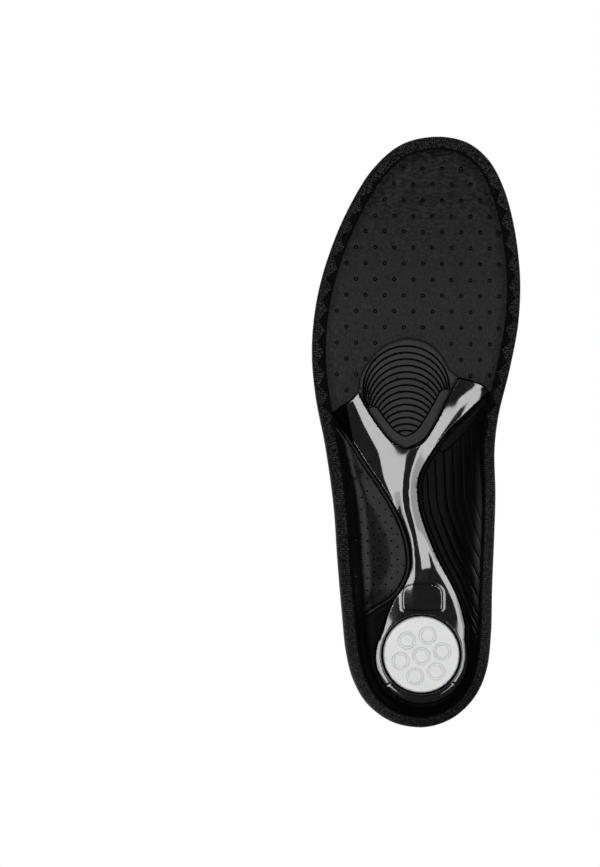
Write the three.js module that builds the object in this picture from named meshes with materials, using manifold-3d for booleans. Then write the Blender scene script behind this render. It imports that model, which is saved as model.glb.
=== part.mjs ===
// A cushioned insole for a right shoe, EU size 37: a contoured foam base under a knitted cover,
// bound round its edge with a folded knit tape, and stiffened from below by a forked shank that
// also rings a soft gel pad under the heel.
//
// Everything is in millimetres. The design frame has +Y from the back of the heel to the toes,
// +X to the outer (lateral) side of the foot and +Z up, towards the foot. The finished group is
// shifted so that its origin is the bottom centre of the whole insole.
//
// The insole bends across the ball of the foot. The layers that cross that line are each made as
// a rear and a front solid, with a slot between them that the bend closes or opens.
import * as THREE from "three";
import { mergeVertices } from "three/addons/utils/BufferGeometryUtils.js";
import Module from "manifold-3d";

const wasm = await Module();
wasm.setup();

// ---------------------------------------------------------------- driving dimensions

const LENGTH = 245;

// Layer thicknesses, measured straight up.
const COVER_THICK = 1.2;
const PANEL_THICK = 1.3;
const TAPE_THICK = 0.5;
const LAYER_GAP = 0.1;

// The shank frame stands proud of the panels, below them, and the panels are that much above the
// ground behind the ball of the foot. The forefoot sheet rests on the ground.
const PANEL_BASE = 0.6;
const FRAME_PROUD = 0.4;

// Gap between pieces that lie side by side.
const SIDE_GAP = 0.3;

// Edge tape, folded round the edge: its width above and below, and the seam laid on it.
const TAPE_WIDTH = 5.7;
const SEAM_INSET = 0.4;
const SEAM_WIDTH = 2;
const SEAM_HEIGHT = 0.3;
const EDGE_INSET = TAPE_THICK + SIDE_GAP;

// The tape is sewn down hard, which lifts the underside by this much along the edge.
const EDGE_PRESS = 2.1;
const EDGE_PRESS_BAND = [2.6, 9.9];

// Heel gel pad and the ring of the shank frame that holds it.
const GEL_CENTRE = [2.3, 31.5];
const GEL_RADIUS = 16;
const GEL_THICK = 4.4;
const GEL_GAP = 0.5;
const HEEL_RING_CENTRE = [2.1, 30.3];
const HEEL_RING_RADIUS = 19.4;

// Metatarsal pad: the centre of the dome that it raises in the cover, and the dome's size.
const PAD_CENTRE = [8.5, 141.8];
const DOME_HEIGHT = 3.6;
const DOME_HALF_WIDTH = 21;
const DOME_HALF_LENGTH = 25;

// Badge plate let into the shank.
const BADGE_THICK = 0.7;
const BADGE_POCKET = 1.0;

// Bend line across the ball of the foot: a point on it and the angle it makes with +X.
const BEND_POINT = [8.5, 167];
const BEND_ANGLE = -11.3 * (Math.PI / 180);
const BEND_SLOT = 0.5;

// ---------------------------------------------------------------- plan outlines

// Whole outline, clockwise from the back of the heel, up the lateral side and down the medial one.
const OUTLINE = [
  [3, 0], [14.2, 2.4], [24.2, 9.8], [30, 19.6], [33, 31], [34.8, 48], [36.6, 69], [38.2, 92],
  [41.7, 117], [45.8, 138], [47.3, 157], [45.2, 178], [39.6, 198], [31.3, 217], [21.8, 232],
  [10, 241.9], [-4.7, LENGTH], [-16.9, 242.5], [-25.5, 235.5], [-31.5, 224.5], [-35.6, 210],
  [-38, 194], [-38.6, 182], [-37.6, 166.5], [-34.1, 148], [-30.3, 130], [-29.2, 116], [-30, 97],
  [-29.4, 80], [-28.1, 58], [-27.4, 39], [-25.4, 23.5], [-20.8, 13], [-13.2, 5.1], [-5, 1.1],
];

// Shank frame: its lateral edge from arm tip to heel, its medial edge from heel to arm tip, the
// ends of its arms, and the throat between them that holds the metatarsal pad.
const FRAME_LATERAL_EDGE = [
  [39.6, 130.2], [31.5, 120], [25, 110], [18.2, 100], [12.6, 90.5], [8.6, 81], [6.9, 72],
  [7.4, 65], [9.6, 60], [13.4, 54.5], [16.2, 48.5], [18.3, 41.5],
];
const FRAME_MEDIAL_EDGE = [
  [-16.2, 43], [-14, 52], [-10.6, 60], [-5.2, 70], [-1, 80], [2.3, 90], [3.4, 99], [2.6, 105.5],
  [-2.6, 115], [-8.2, 122.5], [-16, 130.3], [-26, 139.4],
];
const FRAME_MEDIAL_TIP = [[-26, 139.4], [-23, 142.4], [-18, 144.3], [-13, 145.6]];
const FRAME_THROAT = [
  [-13, 145.6], [-8, 136], [-2, 124.2], [2.5, 118.4], [8.5, 116.5], [14.2, 119.2], [20, 126],
  [25.2, 134], [28.2, 139.8],
];
const FRAME_LATERAL_TIP = [[28.2, 139.8], [31.5, 136.2], [36, 133.4], [39.6, 130.2]];

// Front edge of the metatarsal pad, from the lateral arm round to the medial one.
const PAD_FRONT = [
  [28.2, 139.8], [27.4, 146], [25, 150.6], [20.7, 156], [14.4, 160.2], [8.1, 161.7], [2.8, 161],
  [-2, 158.6], [-6.4, 154.1], [-9.4, 148.8], [-13, 145.6],
];

// Lines that part the sole outside the frame. Each region is closed well outside the outline.
const FAR = 70;
const SHEET_REGION = [
  [FAR, 129.6], [39.2, 130.5], [30, 132], [8, 141], [-12, 141], [-26.2, 139.7], [-FAR, 142],
  [-FAR, 270], [FAR, 270],
];
const LATERAL_PANEL_REGION = [
  [FAR, 129.2], [39, 130.1], [20, 112], [4, 90], [2, 70], [8, 57], [13, 54.2], [17.5, 51.4],
  [21, 49.6], [24.5, 47.5], [31, 44.2], [FAR, 24],
];
const MEDIAL_PANEL_REGION = [
  [-FAR, 141.6], [-26.2, 139.2], [-8, 126], [8, 108], [8, 92], [0, 72], [-8.5, 58], [-13.4, 53.4],
  [-19.4, 42.4], [-25, 30.6], [-27, 24], [-FAR, 14],
];

const SHELL_REGION = [[-FAR, -20], [FAR, -20], [FAR, 50], [0, 50], [-FAR, 50]];

// Badge plate: a D with its straight side to the heel.
const BADGE_CORNER = 1.4;
const BADGE = { left: -6.6, right: 10.3, heel: 49.6, shoulder: 55.2, crown: 60.6 };

// ---------------------------------------------------------------- curves and polygons

const smoothstep = (low, high, value) => THREE.MathUtils.smoothstep(value, low, high);
const toVectors = (points) => points.map(([x, y]) => new THREE.Vector2(x, y));

// Points along an open smooth curve through the given ones.
function smoothRun(points, steps) {
  return new THREE.SplineCurve(toVectors(points)).getPoints(steps);
}

// Points along a closed smooth curve through the given ones, evenly spaced.
function smoothLoop(points, steps) {
  const through = points.map(([x, y]) => new THREE.Vector3(x, y, 0));
  const curve = new THREE.CatmullRomCurve3(through, true, "centripetal");
  const spaced = curve.getSpacedPoints(steps).slice(0, steps);
  return spaced.map((p) => new THREE.Vector2(p.x, p.y));
}

function arcPoints([cx, cy], radius, from, to, steps) {
  const curve = new THREE.EllipseCurve(cx, cy, radius, radius, from, to, to < from);
  return curve.getPoints(steps);
}

// The polygon moved outwards by a distance, or inwards by a negative one.
function grown(points, distance) {
  const side = THREE.ShapeUtils.isClockWise(points) ? -1 : 1;
  const count = points.length;
  return points.map((point, i) => {
    const before = points[(i + count - 1) % count];
    const after = points[(i + 1) % count];
    const along = after.clone().sub(before).normalize();
    return new THREE.Vector2(
      point.x + along.y * distance * side,
      point.y - along.x * distance * side,
    );
  });
}

// Joins runs of points into one loop, leaving out points that repeat at the joins.
function joinRuns(...runs) {
  const joined = runs.flat();
  const apart = 0.05;
  return joined.filter((p, i) => p.distanceTo(joined[(i + 1) % joined.length]) > apart);
}

const outline = smoothLoop(OUTLINE, 80);
const coreOutline = grown(outline, -EDGE_INSET);

// The frame narrows into the heel ring, whose arc closes the outline behind the gel pad.
function frameOutline() {
  const ringStart = Math.atan2(41.5 - HEEL_RING_CENTRE[1], 18.3 - HEEL_RING_CENTRE[0]);
  const ringEnd = Math.atan2(43 - HEEL_RING_CENTRE[1], -16.2 - HEEL_RING_CENTRE[0]) - 2 * Math.PI;
  const trim = 0.25;
  return joinRuns(
    smoothRun(FRAME_LATERAL_EDGE, 26),
    arcPoints(HEEL_RING_CENTRE, HEEL_RING_RADIUS, ringStart - trim, ringEnd + trim, 22),
    smoothRun(FRAME_MEDIAL_EDGE, 26),
    smoothRun(FRAME_MEDIAL_TIP, 5),
    smoothRun(FRAME_THROAT, 20),
    smoothRun(FRAME_LATERAL_TIP, 5),
  );
}

function badgeOutline() {
  const { left, right, heel, shoulder, crown } = BADGE;
  const shape = new THREE.Shape();
  shape.moveTo(left + BADGE_CORNER, heel);
  shape.lineTo(right - BADGE_CORNER, heel);
  shape.quadraticCurveTo(right, heel, right, heel + BADGE_CORNER);
  shape.lineTo(right, shoulder);
  shape.bezierCurveTo(right, crown, (left + right) / 2 + 3, crown, (left + right) / 2, crown);
  shape.bezierCurveTo((left + right) / 2 - 3, crown, left, crown, left, shoulder);
  shape.lineTo(left, heel + BADGE_CORNER);
  shape.quadraticCurveTo(left, heel, left + BADGE_CORNER, heel);
  return joinRuns(shape.getPoints(6));
}

// ---------------------------------------------------------------- the contoured surfaces

// Value at y of a table of [y, value] stations, eased from each station to the next.
function station(table, y) {
  const next = table.findIndex(([at]) => at > y);
  if (next === 0) return table[0][1];
  if (next < 0) return table[table.length - 1][1];
  const [y0, v0] = table[next - 1];
  const [y1, v1] = table[next];
  return v0 + (v1 - v0) * smoothstep(y0, y1, y);
}

// Where the outline crosses a station, as the medial and lateral x.
function edgesAt(y) {
  const crossings = [];
  outline.forEach((a, i) => {
    const b = outline[(i + 1) % outline.length];
    if ((a.y > y) !== (b.y > y)) crossings.push(a.x + ((y - a.y) / (b.y - a.y)) * (b.x - a.x));
  });
  return [Math.min(...crossings), Math.max(...crossings)];
}

// Centre and half width of the sole at a station. Near the ends the last full section is kept.
const SECTION_MARGIN = 12;

function sectionAt(y) {
  const [medial, lateral] = edgesAt(THREE.MathUtils.clamp(y, SECTION_MARGIN, LENGTH - SECTION_MARGIN));
  return { centre: (medial + lateral) / 2, half: (lateral - medial) / 2 };
}

// Distance in from the outline, and 0 outside it.
function insetAt(x, y) {
  const point = new THREE.Vector2(x, y);
  let nearest = Infinity;
  let inside = false;
  outline.forEach((a, i) => {
    const b = outline[(i + 1) % outline.length];
    const span = b.clone().sub(a);
    const share = THREE.MathUtils.clamp(point.clone().sub(a).dot(span) / span.lengthSq(), 0, 1);
    nearest = Math.min(nearest, a.clone().addScaledVector(span, share).distanceTo(point));
    if ((a.y > y) !== (b.y > y) && x < a.x + ((y - a.y) / (b.y - a.y)) * span.x) inside = !inside;
  });
  return inside ? nearest : 0;
}

// How far the edge flares up above the flat sole, and how wide a band it takes to do so.
const FLARE_HEIGHT = {
  medial: [[28, 10], [92, 17.5], [156, 0]],
  lateral: [[30, 10], [75, 8.4], [160, 0]],
};
const FLARE_WIDTH = {
  medial: [[30, 13], [96, 26], [160, 10]],
  lateral: [[30, 13], [100, 14], [140, 10]],
};

// Height of the curved underside above its flat parts.
function contour(x, y) {
  const lateralShare = smoothstep(-8, 8, x - sectionAt(y).centre);
  const bySide = ({ medial, lateral }) =>
    station(medial, y) * (1 - lateralShare) + station(lateral, y) * lateralShare;
  const rise = Math.max(0, 1 - insetAt(x, y) / bySide(FLARE_WIDTH));
  const arch = 2.6 * smoothstep(56, 98, y) * (1 - smoothstep(108, 150, y));
  const toeSpring = 1.4 * smoothstep(LENGTH - 40, LENGTH, y);
  const pressed = EDGE_PRESS * (1 - smoothstep(...EDGE_PRESS_BAND, insetAt(x, y)));
  const settled = PANEL_BASE * smoothstep(138, 150, y);
  return bySide(FLARE_HEIGHT) * rise * rise + arch + toeSpring + pressed - settled;
}

// Thickness from the underside of the panels to the top of the cover.
const CORE_THICKNESS = [[55, 8.4], [110, 6.6], [165, 5.8], [LENGTH, 5.4]];
const EDGE_THICKNESS = 3.6;
const EDGE_TAPER = 10;

function thickness(x, y) {
  const core = station(CORE_THICKNESS, y);
  const full = smoothstep(0, EDGE_TAPER, insetAt(x, y));
  const across = (x - PAD_CENTRE[0]) / DOME_HALF_WIDTH;
  const along = (y - PAD_CENTRE[1]) / DOME_HALF_LENGTH;
  const dome = Math.max(0, 1 - across * across - along * along);
  return EDGE_THICKNESS + (core - EDGE_THICKNESS) * full + DOME_HEIGHT * dome * dome;
}

// ---------------------------------------------------------------- solids

// The plan grid that every layer is made on, as rows of [x, y]. Its columns follow the outline,
// closest together near the edges, and it runs past the outline all round.
const GRID_ROWS = [
  -5, 0, 3, 7, 12, 19, 28, 38, 50, 63, 76, 88, 99, 110, 121, 131, 141, 151, 166, 186, 208, 226,
  236, LENGTH + 5,
];
const GRID_COLUMNS = [-1.14, -0.98, -0.82, -0.6, -0.3, 0, 0.3, 0.6, 0.82, 0.98, 1.14];
const grid = GRID_ROWS.map((y) => {
  const { centre, half } = sectionAt(y);
  return GRID_COLUMNS.map((u) => ({ x: centre + half * u, y }));
});
const gridContour = grid.map((row) => row.map(({ x, y }) => contour(x, y)));
const gridThickness = grid.map((row) => row.map(({ x, y }) => thickness(x, y)));

function solidFrom(geometry) {
  geometry.deleteAttribute("normal");
  geometry.deleteAttribute("uv");
  const merged = mergeVertices(geometry, 1e-4);
  return new wasm.Manifold(
    new wasm.Mesh({
      numProp: 3,
      vertProperties: new Float32Array(merged.attributes.position.array),
      triVerts: new Uint32Array(merged.index.array),
    }),
  );
}

// Heights on the grid: a distance above the underside of the panels, or above the cover's top.
const overSole = (distance) => (j, i) => PANEL_BASE + gridContour[j][i] + distance;
const overCover = (distance) => (j, i) => overSole(distance)(j, i) + gridThickness[j][i];

// A sheet that fills the grid between two height functions.
function slab(bottom, top) {
  const rows = grid.length;
  const columns = GRID_COLUMNS.length;
  const positions = [];
  const index = [];
  for (const height of [bottom, top]) {
    grid.forEach((row, j) => row.forEach(({ x, y }, i) => positions.push(x, y, height(j, i))));
  }
  const at = (j, i, layer) => layer * rows * columns + j * columns + i;
  const quad = (a, b, c, d) => index.push(a, b, c, a, c, d);
  for (let j = 0; j + 1 < rows; j++) {
    for (let i = 0; i + 1 < columns; i++) {
      quad(at(j, i, 1), at(j, i + 1, 1), at(j + 1, i + 1, 1), at(j + 1, i, 1));
      index.push(at(j, i, 0), at(j + 1, i + 1, 0), at(j, i + 1, 0));
      index.push(at(j, i, 0), at(j + 1, i, 0), at(j + 1, i + 1, 0));
    }
  }
  for (let j = 0; j + 1 < rows; j++) {
    const last = columns - 1;
    quad(at(j, 0, 0), at(j, 0, 1), at(j + 1, 0, 1), at(j + 1, 0, 0));
    quad(at(j, last, 0), at(j + 1, last, 0), at(j + 1, last, 1), at(j, last, 1));
  }
  for (let i = 0; i + 1 < columns; i++) {
    const last = rows - 1;
    quad(at(0, i, 0), at(0, i + 1, 0), at(0, i + 1, 1), at(0, i, 1));
    quad(at(last, i, 0), at(last, i, 1), at(last, i + 1, 1), at(last, i + 1, 0));
  }
  const geometry = new THREE.BufferGeometry();
  geometry.setAttribute("position", new THREE.Float32BufferAttribute(positions, 3));
  geometry.setIndex(index);
  return solidFrom(geometry);
}

// An upright prism on a plan polygon, tall enough to cut any layer unless heights are given.
function prism(points, low = -20, high = 60) {
  const geometry = new THREE.ExtrudeGeometry(new THREE.Shape(points), {
    depth: high - low,
    bevelEnabled: false,
  });
  return solidFrom(geometry.translate(0, 0, low));
}

const disc = (centre, radius, low, high) =>
  prism(arcPoints(centre, radius, 0, 2 * Math.PI, 48).slice(0, -1), low, high);

// A band along the outline, between two distances in from it.
function edgeBand(outer, inner) {
  return prism(grown(outline, -outer)).subtract(prism(grown(outline, -inner)));
}

// The half of the plan in front of or behind the bend line, leaving the slot.
function besideBend(inFront) {
  const along = new THREE.Vector2(Math.cos(BEND_ANGLE), Math.sin(BEND_ANGLE));
  const ahead = new THREE.Vector2(-along.y, along.x).multiplyScalar(inFront ? 1 : -1);
  const start = new THREE.Vector2(...BEND_POINT).addScaledVector(ahead, BEND_SLOT / 2);
  const reach = 300;
  const near = [-reach, reach].map((distance) => start.clone().addScaledVector(along, distance));
  const far = near.map((p) => p.clone().addScaledVector(ahead, reach));
  return prism(joinRuns([near[0], near[1], far[1], far[0]]));
}

// ---------------------------------------------------------------- materials

const finish = (color, roughness, metalness = 0) =>
  new THREE.MeshStandardMaterial({ color, roughness, metalness });

const KNIT = finish(0x0b0b0c, 0.95);
const TAPE = finish(0x101012, 0.9);
const THREAD = finish(0x17171a, 0.75);
const FOAM = finish(0x1b1b1d, 0.9);
const SHEET = finish(0x2a2a2c, 0.6);
const PANEL = finish(0x121214, 0.5);
const PAD = finish(0x29292b, 0.55);
const GLOSS = finish(0x0a0a0b, 0.12);
const GEL = finish(0xe9eaea, 0.35);

const insole = new THREE.Group();

function addPiece(name, solid, material) {
  const mesh = solid.getMesh();
  const geometry = new THREE.BufferGeometry();
  geometry.setAttribute("position", new THREE.Float32BufferAttribute(mesh.vertProperties, 3));
  geometry.setIndex(new THREE.BufferAttribute(mesh.triVerts, 1));
  geometry.computeVertexNormals();
  const piece = new THREE.Mesh(geometry, material);
  piece.name = name;
  insole.add(piece);
}

// Adds a layer as its rear and front pieces, parted at the bend line.
function addParted(name, solid, material) {
  addPiece(`${name}_rear`, solid.intersect(besideBend(false)), material);
  addPiece(`${name}_front`, solid.intersect(besideBend(true)), material);
}

// ---------------------------------------------------------------- the layers above the sole

const coverBottom = overCover(-COVER_THICK);
const foamTop = overCover(-COVER_THICK - LAYER_GAP);
const foamBottom = overSole(PANEL_THICK + LAYER_GAP);
const core = prism(coreOutline);

addParted("top_cover", slab(coverBottom, overCover(0)).intersect(core), KNIT);

// The foam has a round pocket for the gel pad.
const pocket = disc(GEL_CENTRE, GEL_RADIUS + GEL_GAP, -10, GEL_THICK + SIDE_GAP);
addParted("foam_base", slab(foamBottom, foamTop).intersect(core).subtract(pocket), FOAM);

// ---------------------------------------------------------------- the pieces of the sole

const frame = frameOutline();
const frameCut = prism(grown(frame, SIDE_GAP));
const pad = joinRuns(smoothRun(PAD_FRONT, 24), smoothRun(FRAME_THROAT, 20));
const padCut = prism(grown(pad, SIDE_GAP));
const sole = slab(overSole(0), overSole(PANEL_THICK)).intersect(core);

const lateralPlan = toVectors(LATERAL_PANEL_REGION);
const medialPlan = toVectors(MEDIAL_PANEL_REGION);
const sheetPlan = toVectors(SHEET_REGION);

const sheet = sole.intersect(prism(sheetPlan)).subtract(frameCut).subtract(padCut);
addParted("forefoot_sheet", sheet, SHEET);
addPiece("lateral_panel", sole.intersect(prism(lateralPlan)).subtract(frameCut), PANEL);
addPiece("medial_arch_panel", sole.intersect(prism(medialPlan)).subtract(frameCut), PANEL);

addPiece("metatarsal_pad", sole.intersect(prism(pad)).subtract(frameCut), PAD);

const shellCuts = [prism(grown(lateralPlan, SIDE_GAP)), prism(grown(medialPlan, SIDE_GAP)), frameCut];
const shell = shellCuts.reduce(
  (solid, cut) => solid.subtract(cut),
  sole.intersect(prism(toVectors(SHELL_REGION))),
);
addPiece("heel_cup_shell", shell, GLOSS);

// The shank frame stands proud of the panels, holds the gel pad in its ring and has a pocket
// for the badge.
const badge = badgeOutline();
const badgePocket = slab(overSole(-FRAME_PROUD - 1), overSole(-FRAME_PROUD + BADGE_POCKET))
  .intersect(prism(grown(badge, SIDE_GAP)));
const shank = slab(overSole(-FRAME_PROUD), overSole(PANEL_THICK))
  .intersect(prism(frame))
  .intersect(prism(grown(outline, -TAPE_WIDTH - SIDE_GAP)))
  .subtract(disc(GEL_CENTRE, GEL_RADIUS + GEL_GAP, -10, 20))
  .subtract(badgePocket);
addPiece("shank_frame", shank, GLOSS);

const badgeFace = -FRAME_PROUD + 0.05;
const badgePlate = slab(overSole(badgeFace), overSole(badgeFace + BADGE_THICK)).intersect(prism(badge));
addPiece("badge_plate", badgePlate, GLOSS);
addPiece("heel_gel_pad", disc(GEL_CENTRE, GEL_RADIUS, 0, GEL_THICK), GEL);

// ---------------------------------------------------------------- the bound edge

// The tape is one folded strip: a band over the cover, a wall round the edge and a band below.
const tapeHeight = LAYER_GAP + TAPE_THICK;
const tape = slab(overSole(-tapeHeight), overCover(tapeHeight)).intersect(edgeBand(0, TAPE_WIDTH));
const tapeInside = slab(overSole(-LAYER_GAP), overCover(LAYER_GAP)).intersect(
  prism(grown(outline, -TAPE_THICK)),
);
addParted("edge_tape", tape.subtract(tapeInside), TAPE);

// A seam thread runs on the tape beside its inner edge, above and below.
const seamBand = edgeBand(TAPE_WIDTH - SEAM_INSET - SEAM_WIDTH, TAPE_WIDTH - SEAM_INSET);
const seamBase = tapeHeight + LAYER_GAP;
const seamTop = slab(overCover(seamBase), overCover(seamBase + SEAM_HEIGHT));
const seamBottom = slab(overSole(-seamBase - SEAM_HEIGHT), overSole(-seamBase));
addParted("seam_thread_top", seamTop.intersect(seamBand), THREAD);
addParted("seam_thread_bottom", seamBottom.intersect(seamBand), THREAD);

// ---------------------------------------------------------------- placing

const bounds = new THREE.Box3().setFromObject(insole);
const middle = bounds.getCenter(new THREE.Vector3());
insole.position.set(-middle.x, -middle.y, -bounds.min.z);

export default insole;
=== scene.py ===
"""Looks of the cushioned insole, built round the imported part.

Shapes are worked out in the insole's design frame, in millimetres: +Y from the back of the heel to
the toes, +X to the lateral side, +Z up to the foot. place() turns them into the row frame's metres.
"""

import math

import bpy
import numpy as np
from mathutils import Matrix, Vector
from mathutils.geometry import delaunay_2d_cdt
from mathutils.kdtree import KDTree


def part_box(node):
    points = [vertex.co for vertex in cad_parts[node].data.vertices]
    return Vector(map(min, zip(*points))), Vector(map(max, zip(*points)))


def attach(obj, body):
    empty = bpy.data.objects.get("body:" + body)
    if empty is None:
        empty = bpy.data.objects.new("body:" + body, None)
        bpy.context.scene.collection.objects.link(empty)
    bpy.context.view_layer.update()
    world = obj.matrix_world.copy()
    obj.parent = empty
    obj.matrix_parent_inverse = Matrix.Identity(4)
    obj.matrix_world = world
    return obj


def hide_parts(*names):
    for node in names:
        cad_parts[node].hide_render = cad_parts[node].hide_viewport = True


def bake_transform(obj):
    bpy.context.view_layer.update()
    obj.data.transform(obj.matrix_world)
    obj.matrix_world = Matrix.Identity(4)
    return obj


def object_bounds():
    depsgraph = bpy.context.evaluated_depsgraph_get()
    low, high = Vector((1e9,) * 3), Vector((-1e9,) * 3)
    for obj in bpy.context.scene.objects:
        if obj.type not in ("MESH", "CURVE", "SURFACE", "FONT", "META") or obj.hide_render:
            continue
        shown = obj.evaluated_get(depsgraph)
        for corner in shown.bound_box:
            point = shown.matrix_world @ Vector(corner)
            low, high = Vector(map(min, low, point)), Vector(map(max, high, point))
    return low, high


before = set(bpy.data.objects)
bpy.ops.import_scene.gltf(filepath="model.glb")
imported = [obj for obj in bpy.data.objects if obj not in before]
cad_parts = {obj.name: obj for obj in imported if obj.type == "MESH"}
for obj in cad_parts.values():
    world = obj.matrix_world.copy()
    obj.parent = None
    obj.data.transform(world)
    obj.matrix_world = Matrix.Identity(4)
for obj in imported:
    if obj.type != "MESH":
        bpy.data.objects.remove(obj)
cad_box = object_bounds()

# ---- sizes, in millimetres

LENGTH = 245.0
COVER_THICK = 1.2
PANEL_THICK = 1.3
TAPE_WIDTH = 5.7
PANEL_BASE = 0.6
PIECE_GAP = 0.12

GEL_CENTRE = np.array([2.3, 31.5])
GEL_HOLE_RADIUS = 16.5
GEL_SEAT_RADIUS = 17.2
GEL_TOP = 4.4
FOAM_SEAT_RADIUS = 16.9
RING_CENTRE = (2.1, 30.3)
RING_RADIUS = 19.4
RING_EASE = 0.25

PAD_CENTRE = (8.5, 141.8)
DOME_HEIGHT = 3.6
DOME_HALF_WIDTH = 21.0
DOME_HALF_LENGTH = 25.0

EDGE_PRESS = 2.1
EDGE_PRESS_BAND = (2.6, 9.9)
ARCH_LIFT = [(56, 0), (98, 2.6)]
ARCH_FALL = (108, 150)
TOE_SPRING = [(LENGTH - 40, 0), (LENGTH, 1.4)]
FRONT_SETTLES = [(138, 0), (150, PANEL_BASE)]
FLARE_HEIGHT = {
    "medial": [(28, 10), (92, 17.5), (156, 0)],
    "lateral": [(30, 10), (75, 8.4), (160, 0)],
}
FLARE_WIDTH = {
    "medial": [(30, 13), (96, 26), (160, 10)],
    "lateral": [(30, 13), (100, 14), (140, 10)],
}
CORE_THICKNESS = [(55, 8.4), (110, 6.6), (165, 5.8), (LENGTH, 5.4)]
EDGE_THICKNESS = 3.6
EDGE_TAPER = 10.0
SECTION_MARGIN = 12.0

OUTLINE = [
    (3, 0), (14.2, 2.4), (24.2, 9.8), (30, 19.6), (33, 31), (34.8, 48), (36.6, 69), (38.2, 92),
    (41.7, 117), (45.8, 138), (47.3, 157), (45.2, 178), (39.6, 198), (31.3, 217), (21.8, 232),
    (10, 241.9), (-4.7, LENGTH), (-16.9, 242.5), (-25.5, 235.5), (-31.5, 224.5), (-35.6, 210),
    (-38, 194), (-38.6, 182), (-37.6, 166.5), (-34.1, 148), (-30.3, 130), (-29.2, 116), (-30, 97),
    (-29.4, 80), (-28.1, 58), (-27.4, 39), (-25.4, 23.5), (-20.8, 13), (-13.2, 5.1), (-5, 1.1),
]
FRAME_LATERAL_EDGE = [
    (39.6, 130.2), (31.5, 120), (25, 110), (18.2, 100), (12.6, 90.5), (8.6, 81), (6.9, 72),
    (7.4, 65), (9.6, 60), (13.4, 54.5), (16.2, 48.5), (18.3, 41.5),
]
FRAME_MEDIAL_EDGE = [
    (-16.2, 43), (-14, 52), (-10.6, 60), (-5.2, 70), (-1, 80), (2.3, 90), (3.4, 99), (2.6, 105.5),
    (-2.6, 115), (-8.2, 122.5), (-16, 130.3), (-26, 139.4),
]
FRAME_MEDIAL_TIP = [(-26, 139.4), (-23, 142.4), (-18, 144.3), (-13, 145.6)]
FRAME_THROAT = [
    (-13, 145.6), (-8, 136), (-2, 124.2), (2.5, 118.4), (8.5, 116.5), (14.2, 119.2), (20, 126),
    (25.2, 134), (28.2, 139.8),
]
FRAME_LATERAL_TIP = [(28.2, 139.8), (31.5, 136.2), (36, 133.4), (39.6, 130.2)]
PAD_FRONT = [
    (28.2, 139.8), (27.4, 146), (25, 150.6), (20.7, 156), (14.4, 160.2), (8.1, 161.7), (2.8, 161),
    (-2, 158.6), (-6.4, 154.1), (-9.4, 148.8), (-13, 145.6),
]
LATERAL_PANEL_HEEL = [(9.6, 60), (12, 56.2), (15.4, 53.2), (20.2, 50.2), (25.4, 46.8), (31, 44.2)]
MEDIAL_PANEL_HEEL = [(-10.6, 60), (-13, 54.6), (-15.6, 49.4), (-19.8, 41.8), (-24.8, 30.6)]
BADGE = {"left": -6.6, "right": 10.3, "heel": 49.6, "shoulder": 55.2, "crown": 60.6, "corner": 1.4}
BADGE_TICKS = {"middle": 1.4, "half": 3.0, "at": (53.4, 55.0, 56.6)}

# Details of the visible faces. A pit is given as (radius, depth) pairs, from its rim in.
RUN_STEP = 0.7
HOLE_PITCH = (7.85, 6.56)
HOLE_START = (5.65, 186.0)
HOLE_TILT = 0.012
HOLE_PIT = [(0.95, 0), (0.8, 0.12), (0.6, 0.8), (0.38, 0.3), (0, 0.2)]
DOT_PIT = [(0.42, 0), (0.28, 0.36), (0, 0.45)]
DASH_PIT = [(0.42, 0), (0, 0.6)]
DOT_PITCH = (4.95, 2.55)
DOT_START = (7.1, 40.0)
DASH_PITCH = (3.3, 3.1)
DASH_REACH = 0.55
DASH_STRETCH = 1.7
PAD_RIB_CENTRE = (8.5, 140.7)
PAD_RIB_RADIUS = 17.7
PAD_RIB_STEP = 2.07
PAD_RIB_SHRINK = 0.6
PAD_RIB_LAST = 13
PAD_LABEL_HALF = 2.35
LABEL_LINES = (-0.3, 0, 0.3)
PAD_LABEL = [
    (-7.4, 138.4), (-1.4, 127.6), (2.8, 121.9), (8.8, 119), (14.2, 121.5), (18.8, 126.8), (22, 131.2),
]
MEDIAL_LABEL = [(-6.6, 117.3), (-24.6, 133.8)]
MEDIAL_LABEL_HALF = 2.3
MEDIAL_BORDER = 2.3
RIB_LEAD = [(6.4, 150), (3.6, 104)]
RIB_OFFSETS = (4.0, 7.4, 11.2, 15.0, 18.9, 22.8, 26.6)
BEAD_OFFSET = 0.7
BEAD_GROOVE = 1.55
SIZE_BARS = [((x, 62.2), (x, 65.4)) for x in (0.8, 2.7, 4.6)]
HEEL_LABEL_RADII = (17.0, 20.4)
HEEL_LABEL_TURN = (42.0, 138.0)
GEL_VISIBLE_RADIUS = 15.6
GEL_NOTCH = (2.4, 46.4)
GEL_NOTCH_RADIUS = 1.1
GEL_RING_RADII = (2.65, 3.5)
GEL_RING_TURNS = [math.radians(47 + 60 * k) for k in range(6)]
GEL_RING_REACH = 8.8
GEL_RING_MIDDLE = np.array([2.3, 30.9])
GEL_RINGS = [GEL_RING_MIDDLE] + [
    GEL_RING_MIDDLE + GEL_RING_REACH * np.array([math.cos(a), math.sin(a)]) for a in GEL_RING_TURNS
]

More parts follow.
